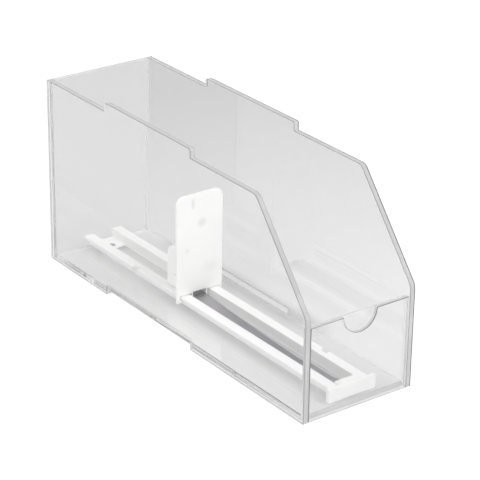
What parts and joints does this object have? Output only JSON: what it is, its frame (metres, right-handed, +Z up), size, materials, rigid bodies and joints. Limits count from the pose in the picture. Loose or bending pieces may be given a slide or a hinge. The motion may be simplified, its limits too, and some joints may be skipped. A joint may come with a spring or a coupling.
{
  "type": "spring pusher display tray",
  "caption": "Clear open-topped stackable display tray with a sloped front, a low notched front wall, and a white spring pusher on a track along its floor.",
  "frame": {"origin": "middle of the tray's base, on the surface that it stands on", "axes": "+Z up, the front wall faces -Y, +X to the right of someone facing it from the front"},
  "size_m": [0.063, 0.213, 0.103],
  "materials": {
    "clear_acrylic": "clear polished sheet",
    "white_plastic": "white moulded plastic, satin",
    "black_plastic": "black moulded acetal",
    "spring_steel": "rolled spring steel tape",
    "plated_steel": "plated small fasteners"
  },
  "bodies": {
    "tray": {"left_side_panel": "clear_acrylic", "right_side_panel": "clear_acrylic", "front_panel": "clear_acrylic", "label_backing_sheet": "clear_acrylic", "back_panel": "clear_acrylic", "bottom_panel": "clear_acrylic", "pusher_track": "white_plastic", "track_front_stop": "white_plastic", "front_track_screw": "plated_steel", "rear_track_screw": "plated_steel", "tape_anchor_rivet": "plated_steel", "spring_tape": "spring_steel"},
    "pusher": {"pusher_paddle": "white_plastic", "spring_housing": "white_plastic", "left_housing_screw": "plated_steel", "right_housing_screw": "plated_steel", "drum_axle": "white_plastic", "axle_clip": "white_plastic"},
    "drum": {"spring_drum": "black_plastic", "spring_coil": "spring_steel"}
  },
  "joints": [
    {"name": "pusher_slide", "type": "slide", "parent": "tray", "child": "pusher", "axis": [0, 1, 0], "range_m": [-0.1098, 0.0715], "deforming": ["spring_tape"]},
    {"name": "drum_turn", "type": "hinge", "parent": "pusher", "child": "drum", "pos_m": [0, 0.0241, 0.014], "axis": [1, 0, 0], "range_deg": [-740, 1130]}
  ],
  "couplings": [
    {"joint": "drum_turn", "follows": "pusher_slide", "rad_per_m": -178.57}
  ]
}
